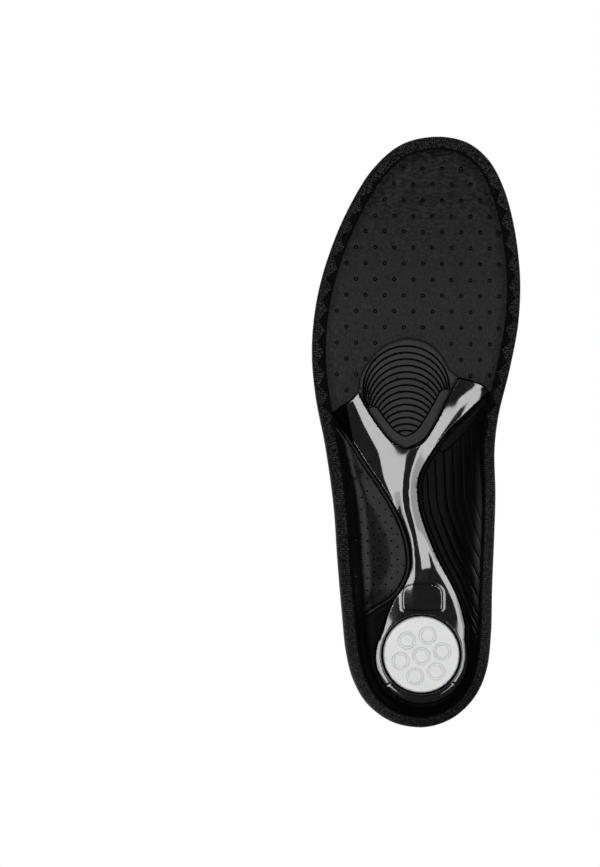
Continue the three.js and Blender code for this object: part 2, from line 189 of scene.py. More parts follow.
# The frame's relief: flat places and crest lines, between which it falls to its edges.
RELIEF_STEP = 0.4
RELIEF_HEIGHT = 1.15
FRAME_LEVELS = [
    (1.0, [
        (2.6, 117.4), (4.0, 113.5), (5.8, 108), (6.5, 104), (6.9, 98), (6.5, 92), (4.8, 85), (3.9, 80),
        (2.8, 73), (2.2, 70), (2.4, 66.5), (5.6, 66.5), (5.9, 70), (6.2, 75), (6.9, 80), (8.7, 86),
        (10.2, 92), (10.7, 97), (9.8, 105), (9, 108), (8.6, 112), (7, 115.4), (4.6, 117.6),
    ]),
    (0.5, [(2.2, 84), (0.7, 78), (-0.5, 72), (-1.4, 67.5), (-3.6, 67.5), (-2.2, 72), (-0.6, 76), (0.9, 80)]),
    (0.8, [(6, 66), (-4.6, 66), (-7.8, 60), (-11.4, 52), (-13, 46), (6, 46)]),
    (0.0, [
        (29.6, 135.2), (25.5, 125.4), (19.7, 114.7), (17.3, 103.1), (13.2, 95), (11.7, 88.4), (14, 88),
        (20, 97), (30, 112), (42, 128), (32, 137),
    ]),
    (0.0, [
        (-27, 140), (-23.6, 141.2), (-17.5, 137.2), (-12.6, 131), (-8.6, 125.8), (-4.6, 120.4), (-2, 116),
        (-8, 118), (-16, 126),
    ]),
    (0.42, [(-11.5, 145), (-20, 142.6), (-16.2, 139.4), (-12.8, 136.4), (-11.2, 136)]),
]
FRAME_CREST = 0.8
FRAME_RIM = 0.48
ARM_END_INSET = 11.8
FRAME_CREST_LEVELS = [(112, 122, 134, 142), (0.95, 0.62, 0.42, 0.4)]
GEL_SEAT_LEVEL = 0.8

SEAM_COUNT = 62
SEAM_BAND = (2.2, 5.2)
SOLE_SEAM = 4.9
SOLE_TEETH = [(118, 134), (222, 234)]
RIB_PITCH = 0.95
POINTS_PER_RIB = 4
THREAD_RADIUS = 0.2
TAPE_WALL = [(0, 0.05), (0.12, 0.24), (0.3, 0.4), (0.5, 0.46), (0.7, 0.42), (0.86, 0.28), (0.98, 0.08)]

# ---- curves

BLOCK = 4000
CONTOUR_STEP = 0.25


def ease(low, high, value):
    """A smooth step: 0 up to low, 1 from high on."""
    t = np.clip((np.asarray(value, float) - low) / (high - low), 0, 1)
    return t * t * (3 - 2 * t)


def hermite(p0, p1, p2, p3, steps):
    """One span of a centripetal Catmull-Rom curve, from p1 up to but not including p2."""
    a, b, c = (math.sqrt(np.linalg.norm(q - p)) for p, q in ((p0, p1), (p1, p2), (p2, p3)))
    m1 = ((p1 - p0) / a - (p2 - p0) / (a + b) + (p2 - p1) / b) * b
    m2 = ((p2 - p1) / b - (p3 - p1) / (b + c) + (p3 - p2) / c) * b
    t = np.linspace(0, 1, steps, endpoint=False)[:, None]
    return (
        (2 * t**3 - 3 * t**2 + 1) * p1 + (t**3 - 2 * t**2 + t) * m1
        + (3 * t**2 - 2 * t**3) * p2 + (t**3 - t**2) * m2
    )


def respaced(points, spacing, closed=False):
    """The same line with its points evenly spaced."""
    line = np.vstack([points, points[:1]]) if closed else points
    run = np.concatenate([[0], np.cumsum(np.linalg.norm(np.diff(line, axis=0), axis=1))])
    count = max(2, round(run[-1] / spacing))
    at = np.linspace(0, run[-1], count + 1)[: count if closed else count + 1]
    return np.column_stack([np.interp(at, run, line[:, k]) for k in range(line.shape[1])])


def smooth_loop(points, spacing):
    p = np.array(points, float)
    spans = [hermite(*(p[(i + k) % len(p)] for k in (-1, 0, 1, 2)), 24) for i in range(len(p))]
    return respaced(np.vstack(spans), spacing, closed=True)


def smooth_run(points, spacing=RUN_STEP):
    p = np.array(points, float)
    p = np.vstack([2 * p[0] - p[1], p, 2 * p[-1] - p[-2]])
    spans = [hermite(*p[i : i + 4], 16) for i in range(len(p) - 3)]
    return respaced(np.vstack([*spans, p[-2:-1]]), spacing)


def joined(*runs):
    """Runs of points joined into one loop, without the points that repeat at the joins."""
    points = np.vstack(runs)
    apart = np.linalg.norm(points - np.roll(points, -1, axis=0), axis=1)
    return points[apart > 0.05]


def outward(points):
    """Unit normals of a closed loop, away from its inside."""
    along = np.roll(points, -1, axis=0) - np.roll(points, 1, axis=0)
    along /= np.linalg.norm(along, axis=1)[:, None]
    area = np.sum(points[:, 0] * np.roll(points[:, 1], -1) - np.roll(points[:, 0], -1) * points[:, 1])
    return np.column_stack([along[:, 1], -along[:, 0]]) * np.sign(area)


def grown(points, distance):
    return points + outward(points) * distance


def plan_grid(xs, ys):
    """The points of a grid, row by row, as an array of rows."""
    return np.stack(np.meshgrid(xs, ys), axis=-1)


def circle(centre, radius, count):
    a = np.linspace(0, 2 * math.pi, count, endpoint=False)
    return np.column_stack([centre[0] + radius * np.cos(a), centre[1] + radius * np.sin(a)])


def blocks(points):
    """Slices that take the points a few thousand at a time, to spare memory."""
    return [np.s_[start : start + BLOCK] for start in range(0, len(points), BLOCK)]


def distance_to(points, line, closed=True):
    """Distance of each point from a line of points."""
    a = line if closed else line[:-1]
    b = np.roll(line, -1, axis=0) if closed else line[1:]
    span = b - a
    nearest = np.full(len(points), np.inf)
    for block in blocks(points):
        ahead = points[block][:, None] - a
        share = np.clip((ahead * span).sum(2) / (span**2).sum(1), 0, 1)
        nearest[block] = np.linalg.norm(ahead - share[..., None] * span, axis=2).min(1)
    return nearest


def inside(points, loops):
    """Whether each point is inside an odd number of the loops."""
    odd = np.zeros(len(points), bool)
    for loop in loops:
        low, high = loop.min(0), loop.max(0)
        near = np.where(((points >= low) & (points <= high)).all(1))[0]
        a, b = loop, np.roll(loop, -1, axis=0)
        for block in blocks(near):
            some = near[block]
            x, y = points[some, 0][:, None], points[some, 1][:, None]
            spans = (a[:, 1] > y) != (b[:, 1] > y)
            rise = np.where(b[:, 1] == a[:, 1], 1, b[:, 1] - a[:, 1])
            crossing = spans & (x < a[:, 0] + (y - a[:, 1]) / rise * (b[:, 0] - a[:, 0]))
            odd[some] ^= crossing.sum(1) % 2 == 1
    return odd


outline = smooth_loop(OUTLINE, 0.8)

# ---- the contoured surfaces

# Distance in from the outline, kept on a grid and read between its points.
FIELD_STEP = 0.5
field_x = np.arange(-42, 51, FIELD_STEP)
field_y = np.arange(-4, 249, FIELD_STEP)
field_points = plan_grid(field_x, field_y).reshape(-1, 2)
field = distance_to(field_points, respaced(outline, 2.0, closed=True))
field *= np.where(inside(field_points, [outline]), 1, -1)
field = field.reshape(len(field_y), len(field_x))

edge_y = np.arange(SECTION_MARGIN, LENGTH - SECTION_MARGIN + 0.5, 1.0)
section_centre = []
a, b = outline, np.roll(outline, -1, axis=0)
for level in edge_y:
    hit = (a[:, 1] > level) != (b[:, 1] > level)
    xs = a[hit, 0] + (level - a[hit, 1]) / (b[hit, 1] - a[hit, 1]) * (b[hit, 0] - a[hit, 0])
    section_centre.append((xs.min() + xs.max()) / 2)


def sampled(grid, corner, step, x, y):
    """The value at x, y of a grid whose first point is at corner, read between its points."""
    u = np.clip((x - corner[0]) / step, 0, grid.shape[1] - 1.001)
    v = np.clip((y - corner[1]) / step, 0, grid.shape[0] - 1.001)
    i, j = u.astype(int), v.astype(int)
    s, t = u - i, v - j
    low = grid[j, i] * (1 - s) + grid[j, i + 1] * s
    high = grid[j + 1, i] * (1 - s) + grid[j + 1, i + 1] * s
    return low * (1 - t) + high * t


def inset(x, y):
    """Distance in from the outline."""
    return sampled(field, (field_x[0], field_y[0]), FIELD_STEP, x, y)


def station(table, y):
    """Value at y of a table of (y, value) stations, eased from each station to the next."""
    value = np.full(np.shape(y), float(table[0][1]))
    for (y0, v0), (y1, v1) in zip(table, table[1:]):
        value += (v1 - v0) * ease(y0, y1, y)
    return value


def underside(x, y, d=None):
    """Height of the panels' underside."""
    d = np.maximum(inset(x, y) if d is None else d, 0)
    centre = np.interp(y, edge_y, section_centre)
    lateral = ease(-8, 8, x - centre)

    def by_side(table):
        return station(table["medial"], y) * (1 - lateral) + station(table["lateral"], y) * lateral

    rise = np.maximum(0, 1 - d / by_side(FLARE_WIDTH))
    arch = station(ARCH_LIFT, y) * (1 - ease(*ARCH_FALL, y))
    pressed = EDGE_PRESS * (1 - ease(*EDGE_PRESS_BAND, d))
    flat = PANEL_BASE + station(TOE_SPRING, y) - station(FRONT_SETTLES, y)
    return flat + by_side(FLARE_HEIGHT) * rise**2 + arch + pressed


def topside(x, y, d=None):
    """Height of the cover's top."""
    d = np.maximum(inset(x, y) if d is None else d, 0)
    core = station(CORE_THICKNESS, y)
    dome = np.maximum(
        0, 1 - ((x - PAD_CENTRE[0]) / DOME_HALF_WIDTH) ** 2 - ((y - PAD_CENTRE[1]) / DOME_HALF_LENGTH) ** 2
    )
    full = ease(0, EDGE_TAPER, d)
    return underside(x, y, d) + EDGE_THICKNESS + (core - EDGE_THICKNESS) * full + DOME_HEIGHT * dome**2


# ---- meshes

gel_low, gel_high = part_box("heel_gel_pad")
design_origin = np.array([
    (gel_low[0] + gel_high[0]) / 2 * 1000 - GEL_CENTRE[0],
    (gel_low[1] + gel_high[1]) / 2 * 1000 - GEL_CENTRE[1],
    gel_low[2] * 1000,
])


def place(points):
    """Design-frame millimetres to the row frame's metres."""
    return (np.asarray(points, float) + design_origin) / 1000


def added(name, data):
    """A new object in the scene."""
    obj = bpy.data.objects.new(name, data)
    bpy.context.scene.collection.objects.link(obj)
    return obj


def mesh_object(name, points, faces, material, crease=40, second=None, is_second=None):
    """A smooth mesh piece. is_second tells, face by face, which take the second material."""
    mesh = bpy.data.meshes.new(name)
    mesh.from_pydata(place(points).tolist(), [], [list(map(int, f)) for f in faces])
    mesh.validate()
    mesh.polygons.foreach_set("use_smooth", [True] * len(mesh.polygons))
    mesh.set_sharp_from_angle(angle=math.radians(crease))
    mesh.materials.append(material)
    if second is not None:
        mesh.materials.append(second)
        mesh.polygons.foreach_set("material_index", [int(flag) for flag in is_second])
    return added(name, mesh)


def staggered(start, pitch, columns, rows):
    """A staggered grid of spots: every second row is shifted by half the pitch."""
    return np.array([
        (start[0] + (column + (row % 2) / 2) * pitch[0], start[1] + row * pitch[1])
        for row in range(*rows) for column in range(*columns)
    ])


def triangulated(loops, spacing, extra=()):
    """A triangulation of the region inside the first loop and outside the others.

    extra holds points that must be in it. Others fill the rest, at the given spacing.
    Returns the points, the triangles (counter-clockwise) and each point's distance to the loops.
    """
    outer = loops[0]
    fixed = np.vstack([*loops, *extra])
    pitch = spacing * np.array([1, 0.866])
    columns, rows = np.ceil((outer.max(0) - outer.min(0)) / pitch).astype(int)
    fill = staggered(outer.min(0), pitch, (0, columns), (0, rows))
    fill = fill[inside(fill, loops)]
    for loop in loops:
        fill = fill[distance_to(fill, loop) > 0.45 * spacing]
    if len(extra):
        fill = fill[nearest_gap(fill, np.vstack(extra)) > 0.5 * spacing]
    points = np.vstack([fixed, fill])
    edges = []
    start = 0
    for loop in loops:
        edges += [(start + i, start + (i + 1) % len(loop)) for i in range(len(loop))]
        start += len(loop)
    made = delaunay_2d_cdt([Vector(p) for p in points], edges, [], 0, 1e-5)
    flat = np.array([tuple(p) for p in made[0]])
    triangles = np.array([f for f in made[2] if len(f) == 3])
    corners = flat[triangles]
    triangles = triangles[inside(corners.mean(1), loops)]
    a, b, c = (flat[triangles[:, k]] for k in range(3))
    turn = (b[:, 0] - a[:, 0]) * (c[:, 1] - a[:, 1]) - (b[:, 1] - a[:, 1]) * (c[:, 0] - a[:, 0])
    solid = np.abs(turn) > 1e-7
    triangles, turn = triangles[solid], turn[solid]
    triangles[turn < 0] = triangles[turn < 0][:, ::-1]
    used, index = np.unique(triangles, return_inverse=True)
    flat = flat[used]
    triangles = index.reshape(-1, 3)
    depth = np.min([distance_to(flat, loop) for loop in loops], axis=0)
    return flat, triangles, depth


def plan_tree(points):
    tree = KDTree(len(points))
    for i, (x, y) in enumerate(points):
        tree.insert((x, y, 0), i)
    tree.balance()
    return tree


def nearest_gap(points, spots):
    tree = plan_tree(spots)
    return np.array([tree.find((x, y, 0))[2] for x, y in points])


def contour_points(signed, offsets, loop, spacing=0.45):
    """Points along the lines where a signed plan distance takes each of some values, in a loop.

    The distance may jump from line to line: only its smooth crossings count.
    """
    low, high = loop.min(0), loop.max(0)
    grid = plan_grid(np.arange(low[0], high[0], CONTOUR_STEP), np.arange(low[1], high[1], CONTOUR_STEP))
    values = signed(*grid.reshape(-1, 2).T).reshape(grid.shape[:2])
    found = []
    for offset in offsets:
        v = values - offset
        crossed = []
        for first, second in ((np.s_[:, :-1], np.s_[:, 1:]), (np.s_[:-1], np.s_[1:])):
            a, b = v[first], v[second]
            hit = ((a < 0) != (b < 0)) & (np.abs(a - b) < 2.5 * CONTOUR_STEP)
            share = (a[hit] / (a[hit] - b[hit]))[:, None]
            crossed.append(grid[first][hit] * (1 - share) + grid[second][hit] * share)
        crossed = np.vstack(crossed)
        crossed = crossed[np.unique(np.round(crossed / spacing), axis=0, return_index=True)[1]]
        found.append(crossed)
    found = np.vstack(found)
    found = found[inside(found, [loop])]
    return found[distance_to(found, loop) > 0.3]


def rim_edges(triangles):
    """Edges that belong to one triangle, in that triangle's direction."""
    edges = np.vstack([triangles[:, [0, 1]], triangles[:, [1, 2]], triangles[:, [2, 0]]])
    once = dict.fromkeys(map(tuple, edges.tolist()))
    return [(a, b) for a, b in once if (b, a) not in once]


def plate(
    name, loops, material, under, over, spacing, extra=(), crease=40, second=None, second_on_top=False,
):
    """A closed plate on a plan region. under and over give its two faces' heights.

    Each is called with x, y and the distance to the plate's own edge. second holds a second material
    and a test of the middles of one face's triangles, which tells where that material goes.
    """
    flat, triangles, depth = triangulated(loops, spacing, extra)
    x, y = flat.T
    low = np.column_stack([x, y, under(x, y, depth)])
    high = np.column_stack([x, y, over(x, y, depth)])
    count = len(flat)
    faces = triangles[:, ::-1].tolist() + (triangles + count).tolist()
    for a, b in rim_edges(triangles):
        faces.append([a, b, b + count, a + count])
    points = np.vstack([low, high])
    if second is None:
        return mesh_object(name, points, faces, material, crease)
    marked = np.zeros(len(faces), bool)
    first = len(triangles) if second_on_top else 0
    marked[first : first + len(triangles)] = second[1](*flat[triangles].mean(1).T)
    return mesh_object(name, points, faces, material, crease, second[0], marked)


def rounded(depth, radius):
    """How far a rounded edge falls back from the face, by distance to the edge."""
    t = np.clip(depth / radius, 0, 1)
    return radius * (1 - np.sqrt(np.clip(1 - (1 - t) ** 2, 0, 1)))


def groove(offset, width):
    """A smooth groove's depth, 1 in its middle and 0 beyond its width."""
    t = np.clip(np.abs(offset) / (width / 2), 0, 1)
    return (1 - t**2) ** 2


# ---- materials


class Surface:
    """A Principled material being built: its node tree, its shader and short ways to add to it."""

    def __init__(self, name, **inputs):
        self.material = bpy.data.materials.new(name)
        self.material.use_nodes = True
        self.tree = self.material.node_tree
        self.shader = self.tree.nodes["Principled BSDF"]
        for label, value in inputs.items():
            self.shader.inputs[label.replace("_", " ")].default_value = value

    def node(self, kind, **inputs):
        made = self.tree.nodes.new(kind)
        for label, value in inputs.items():
            made.inputs[label.replace("_", " ")].default_value = value
        return made

    def link(self, output, target):
        self.tree.links.new(output, target)

    def position(self, scale=(1, 1, 1)):
        """Object coordinates in millimetres, stretched."""
        texture = self.node("ShaderNodeTexCoord")
        mapping = self.node("ShaderNodeMapping")
        mapping.inputs["Scale"].default_value = [1000 * s for s in scale]
        self.link(texture.outputs["Object"], mapping.inputs["Vector"])
        return mapping.outputs["Vector"]

    def noise(self, size, stretch=(1, 1, 1), detail=3.0, roughness=0.6):
        """Noise whose grains are about size millimetres."""
        made = self.node("ShaderNodeTexNoise", Scale=1 / size, Detail=detail, Roughness=roughness)
        self.link(self.position(stretch), made.inputs["Vector"])
        return made.outputs["Fac"]

    def ramp(self, value, stops):
        """A ramp between two (position, colour or grey) stops."""
        made = self.node("ShaderNodeValToRGB")
        for element, (position, colour) in zip(made.color_ramp.elements, stops):
            element.position = position
            element.color = (*colour, 1) if hasattr(colour, "__len__") else (colour, colour, colour, 1)
        self.link(value, made.inputs["Fac"])
        return made.outputs["Color"]

    def colour(self, value, stops):
        self.link(self.ramp(value, stops), self.shader.inputs["Base Color"])

    def roughness(self, value, low, high):
        self.link(self.ramp(value, [(0.3, low), (0.7, high)]), self.shader.inputs["Roughness"])

    def bump(self, *layers):
        """Bump from several (value, height in millimetres) layers, one on another."""
        normal = None
        for value, height in layers:
            made = self.node("ShaderNodeBump", Strength=1.0, Distance=height / 1000)
            self.link(value, made.inputs["Height"])
            if normal is not None:
                self.link(normal, made.inputs["Normal"])
            normal = made.outputs["Normal"]
        self.link(normal, self.shader.inputs["Normal"])


def fabric(name, low, high, stretch=(1, 1, 1), bump=0.25, sheen=0.06, grain=0.42, spread=(0.34, 0.68)):
    """Knitted or foamed material, near black, mottled by its yarn or cells."""
    s = Surface(name, Roughness=0.9, Sheen_Weight=sheen, Sheen_Roughness=0.5, Specular_IOR_Level=0.04)
    yarn = s.noise(grain, stretch, detail=4)
    s.colour(yarn, [(spread[0], (low, low, low * 1.03)), (spread[1], (high, high, high * 1.03))])
    s.bump((yarn, bump), (s.noise(0.16), bump * 0.3))
    return s.material


def moulded(name, low, high, rough, level, grain_height=0.02):
    """Moulded or die-cut rubber and plastic, and the near-black matte used as painted shade."""
    s = Surface(name, Roughness=rough, Specular_IOR_Level=level)
    s.colour(s.noise(9.0, detail=2), [(0.3, (low, low, low * 1.04)), (0.7, (high, high, high * 1.04))])
    s.roughness(s.noise(2.2), rough - 0.04, rough + 0.05)
    s.bump((s.noise(0.35, detail=4), grain_height))
    return s.material


def sheet_material():
    """Brushed sheet: fine streaks behind; towards the toe a leathery grain, darker there from painted shade,
    with light specks that are partly grain and partly painted glints.
    """
    s = Surface("brushed_sheet", Roughness=0.52, Specular_IOR_Level=0.1)
    streaks = s.noise(0.6, (1, 0.35, 1), detail=6, roughness=0.7)
    leather = s.noise(1.1, (0.5, 1, 1), detail=5, roughness=0.75)
    apart = s.node("ShaderNodeSeparateXYZ")
    s.link(s.position(), apart.inputs["Vector"])
    # Painted shade: the blend towards the darker, flecked toe colour stands in for the light falling off
    # towards the toe.
    toeward = s.node("ShaderNodeMapRange", From_Min=50, From_Max=95)
    s.link(apart.outputs["Y"], toeward.inputs["Value"])
    shade = s.node("ShaderNodeMixRGB")
    s.link(toeward.outputs["Result"], shade.inputs["Fac"])
    brushed = s.ramp(streaks, [(0.36, (0.005, 0.005, 0.0052)), (0.64, (0.022, 0.022, 0.0226))])
    toe_grain_and_shade = s.ramp(leather, [(0.42, (0.001, 0.001, 0.0011)), (0.62, (0.018, 0.018, 0.0184))])
    s.link(brushed, shade.inputs["Color1"])
    s.link(toe_grain_and_shade, shade.inputs["Color2"])
    s.link(shade.outputs["Color"], s.shader.inputs["Base Color"])
    s.roughness(s.noise(3.0, (1, 0.5, 1)), 0.46, 0.6)
    s.bump((leather, 0.16), (streaks, 0.05))
    return s.material


def gloss_material(name):
    s = Surface(name, Roughness=0.1, IOR=1.7, Coat_Weight=1.0, Coat_Roughness=0.07)
    s.colour(s.noise(12.0, detail=2), [(0.3, (0.002, 0.002, 0.0022)), (0.7, (0.003, 0.003, 0.0032))])
    s.roughness(s.noise(5.0), 0.08, 0.12)
    s.bump((s.noise(7.0, detail=1), 0.03))
    return s.material


def gel_material(name, pale):
    s = Surface(name, Roughness=0.42, Specular_IOR_Level=0.4, Subsurface_Weight=0.12, Subsurface_Scale=0.001)
    s.colour(s.noise(7.0, detail=2), [(0.3, (pale - 0.04, pale - 0.03, pale - 0.03)), (0.7, pale)])
    s.bump((s.noise(0.5), 0.012))
    return s.material


COVER = fabric("spacer_knit", 0.002, 0.008, (1, 0.45, 1), bump=0.3, sheen=0.02)
TAPE = fabric("rib_knit", 0.0015, 0.07, bump=0.3, sheen=0.005, grain=0.7, spread=(0.44, 0.72))
# The seam thread's material; on the tape it is also painted shade between the ribs and inside the seam's
# teeth.
THREAD_AND_SHADE = fabric("seam_thread", 0.0012, 0.004, bump=0.1, sheen=0.0)
FOAM = fabric("open_foam", 0.006, 0.02, bump=0.15)
SHEET = sheet_material()
PAD = moulded("pad_rubber", 0.009, 0.014, 0.48, 0.22)
PANEL = moulded("panel_rubber", 0.0012, 0.002, 0.42, 0.04)
SHELL = moulded("heel_shell_skin", 0.001, 0.0015, 0.36, 0.02, 0.01)
SATIN = moulded("lateral_panel_satin", 0.0015, 0.0025, 0.24, 0.11, 0.006)
# A near-black matte used as painted shade: laid on faces in grooves, pits and along rims, where shade falls,
# and on the lateral arm's end, where the gloss would catch a lamp.
SHADE = moulded("painted_shade", 0.0006, 0.001, 0.7, 0.0, 0.005)
GLOSS = gloss_material("gloss_black")
BADGE_SKIN = gloss_material("badge_skin")
GEL = gel_material("heel_gel", 0.72)
# A darker copy of the gel: painted shade for the thin lines along its moulded rings and notch.
GEL_LINE_SHADE = gel_material("gel_ring_painted_shade", 0.6)

# ---- how the sole is divided


def part_of(points, first, last):
    """The stretch of a run between the points nearest to two given ones."""
    i, j = (np.linalg.norm(points - np.array(end), axis=1).argmin() for end in (first, last))
    return points[i : j + 1] if i <= j else points[j : i + 1][::-1]


hidden_edge = grown(outline, -2.2)
lateral_edge = smooth_run(FRAME_LATERAL_EDGE)
medial_edge = smooth_run(FRAME_MEDIAL_EDGE)
medial_tip = smooth_run(FRAME_MEDIAL_TIP)
lateral_tip = smooth_run(FRAME_LATERAL_TIP)
throat = smooth_run(FRAME_THROAT)
pad_front = smooth_run(PAD_FRONT)
lateral_heel = smooth_run(LATERAL_PANEL_HEEL)
medial_heel = smooth_run(MEDIAL_PANEL_HEEL)


def edge_stretch(test):
    """The hidden edge's points that pass a test, as one run in the outline's order."""
    keep = test(hidden_edge[:, 0], hidden_edge[:, 1])
    start = np.where(keep & ~np.roll(keep, 1))[0][0]
    return np.roll(hidden_edge, -start, axis=0)[: keep.sum()]


def ring_arc():
    """The frame's round heel end, from its lateral edge round to its medial edge."""
    first, last = (np.subtract(p, RING_CENTRE) for p in (FRAME_LATERAL_EDGE[-1], FRAME_MEDIAL_EDGE[0]))
    start = math.atan2(first[1], first[0]) - RING_EASE
    end = math.atan2(last[1], last[0]) - 2 * math.pi + RING_EASE
    a = np.linspace(start, end, round((start - end) * RING_RADIUS / RUN_STEP))
    return RING_CENTRE + RING_RADIUS * np.column_stack([np.cos(a), np.sin(a)])


ring = ring_arc()
lateral_waist = part_of(lateral_edge, FRAME_LATERAL_EDGE[0], LATERAL_PANEL_HEEL[0])
medial_waist = part_of(medial_edge, MEDIAL_PANEL_HEEL[0], FRAME_MEDIAL_EDGE[-1])
frame_loop = joined(lateral_edge, ring, medial_edge, medial_tip, throat, lateral_tip)
sheet_loop = joined(
    edge_stretch(lambda x, y: ((x > 0) & (y > 130)) | ((x <= 0) & (y > 140))),
    medial_tip, pad_front[::-1], lateral_tip,
)
pad_loop = joined(pad_front, throat)
lateral_loop = joined(
    edge_stretch(lambda x, y: (x > 0) & (y > 42.5) & (y < 129.5)), lateral_waist, lateral_heel,
)
medial_loop = joined(
    edge_stretch(lambda x, y: (x < 0) & (y > 27) & (y < 140)), medial_heel[::-1], medial_waist,
)
shell_loop = joined(
    edge_stretch(lambda x, y: ((x > 0) & (y < 41)) | ((x <= 0) & (y < 25.5))),
    lateral_heel[::-1], part_of(lateral_edge, LATERAL_PANEL_HEEL[0], FRAME_LATERAL_EDGE[-1]), ring,
    part_of(medial_edge, FRAME_MEDIAL_EDGE[0], MEDIAL_PANEL_HEEL[0]), medial_heel,
)


def over_panel(x, y, depth):
    return underside(x, y) + PANEL_THICK


def smooth_under(x, y, depth):
    return underside(x, y) + rounded(depth, 0.35)


def as_points(x, y):
    return np.column_stack([x, y])


def distance_from(line):
    """A function of x and y that gives the distance from an open line."""
    return lambda x, y: distance_to(as_points(x, y), line, closed=False)


# ---- pits and perforations


def pits(centres, profile, count, stretch=1.0):
    """Rings of points that make a pit at each centre, and a function that gives the pits' depth."""
    points, drops = [], []
    for centre in centres:
        for radius, drop in profile:
            spots = circle((0, 0), radius, count) * (1, stretch) if radius else np.zeros((1, 2))
            points.append(spots + centre)
            drops += [drop] * len(spots)
    points = np.vstack(points)
    tree = plan_tree(points)

    def depth_at(x, y):
        found = [tree.find((a, b, 0)) for a, b in zip(x, y)]
        return np.array([drops[i] if gap < 1e-3 else 0.0 for _, i, gap in found])

    return points, depth_at


def well_inside(spots, loop, clearance, rim):
    """The spots that are clear of a loop's edge and of the insole's rim."""
    clear = inside(spots, [loop]) & (distance_to(spots, loop) > clearance)
    return spots[clear & (inset(*spots.T) > rim)]


def build_sheet():
    holes = staggered(HOLE_START, HOLE_PITCH, (-7, 8), (-8, 9))
    holes[:, 1] += (holes[:, 0] - 29) * HOLE_TILT
    holes = well_inside(holes, sheet_loop, 1.6, 6.6)
    points, pit_depth = pits(holes, HOLE_PIT, 10)

    # Painted shade: a ring of faces on each hole's inner wall takes the near-black SHADE.
    def in_pit(x, y):
        gap = nearest_gap(as_points(x, y), holes)
        return (gap > 0.4) & (gap < 0.76)

    return plate(
        "forefoot_sheet", [grown(sheet_loop, -PIECE_GAP)], SHEET,
        lambda x, y, d: smooth_under(x, y, d) + pit_depth(x, y), over_panel, 1.7, [points],
        second=(SHADE, in_pit),
    )


# ---- metatarsal pad


def pad_level(x, y):
    """The number of the rib line a point is on: whole numbers are the middles of the grooves.

    The lines are circles. From each to the next the centre moves heelward and the radius shrinks.
    """
    dx, dy = x - PAD_RIB_CENTRE[0], y - PAD_RIB_CENTRE[1]
    a = PAD_RIB_STEP**2 - PAD_RIB_SHRINK**2
    b = 2 * (PAD_RIB_STEP * dy + PAD_RIB_RADIUS * PAD_RIB_SHRINK)
    c = dx**2 + dy**2 - PAD_RIB_RADIUS**2
    return (-b + np.sqrt(np.maximum(b**2 - 4 * a * c, 0))) / (2 * a)


def from_pad_groove(x, y):
    """Signed distance from the nearest groove."""
    level = pad_level(x, y)
    steep = np.hypot(pad_level(x + 0.05, y) - level, pad_level(x, y + 0.05) - level) / 0.05
    return (level - np.clip(np.round(level), 0, PAD_RIB_LAST)) / steep


from_label = distance_from(smooth_run(PAD_LABEL, 0.5))


def pad_under(x, y, depth):
    offset = from_pad_groove(x, y)
    near_label = from_label(x, y)
    band = ease(PAD_LABEL_HALF + 0.1, PAD_LABEL_HALF - 0.2, near_label)
    lines = groove(offset, 0.8) * ease(0.3, 0.6, depth)
    crown = 0.45 * (1 - (1 - np.clip(depth / 9, 0, 1)) ** 2)
    face = underside(x, y) + 0.55 - crown + rounded(depth, 0.4)
    return face + 0.85 * lines * (1 - band) + 0.7 * groove(near_label - PAD_LABEL_HALF, 0.6)


def build_pad():
    loop = grown(pad_loop, -PIECE_GAP)
    ribs = contour_points(from_pad_groove, (-0.42, -0.22, 0, 0.22, 0.42), loop, 0.5)
    ribs = ribs[from_label(*ribs.T) > PAD_LABEL_HALF + 0.35]
    borders = contour_points(from_label, [PAD_LABEL_HALF + g for g in LABEL_LINES], loop, 0.4)

    # Painted shade: faces in the rib grooves and along the label's border take the near-black SHADE, where
    # the grooves' shade falls.
    def in_groove(x, y):
        from_border = from_label(x, y) - PAD_LABEL_HALF
        in_rib = (np.abs(from_pad_groove(x, y)) < 0.24) & (from_border > 0.05)
        return in_rib | (np.abs(from_border) < 0.27)

    return plate(
        "metatarsal_pad_ribbed", [loop], PAD, pad_under, over_panel, 0.8, [ribs, borders],
        second=(SHADE, in_groove),
    )


# ---- arch and lateral panels

from_medial_border = distance_from(np.vstack([medial_waist[::-1], medial_heel]))
from_lateral_border = distance_from(np.vstack([lateral_waist, lateral_heel]))
from_medial_label = distance_from(np.array(MEDIAL_LABEL))
from_rib_border = distance_from(np.vstack([
    RIB_LEAD, part_of(medial_edge, (3.4, 99), MEDIAL_PANEL_HEEL[0]), medial_heel,
]))


def from_medial_groove(x, y):
    """Signed distance from the nearest of the grooves between the ribs."""
    off = from_rib_border(x, y)
    nearest = np.abs(off[:, None] - np.array(RIB_OFFSETS)).argmin(1)
    return off - np.array(RIB_OFFSETS)[nearest]


def bead(off):
    """A raised line along a panel's inner edge, with a thin groove beyond it."""
    return 0.35 * groove(off - BEAD_GROOVE, 0.6) - 0.22 * groove(off - BEAD_OFFSET, 0.9)


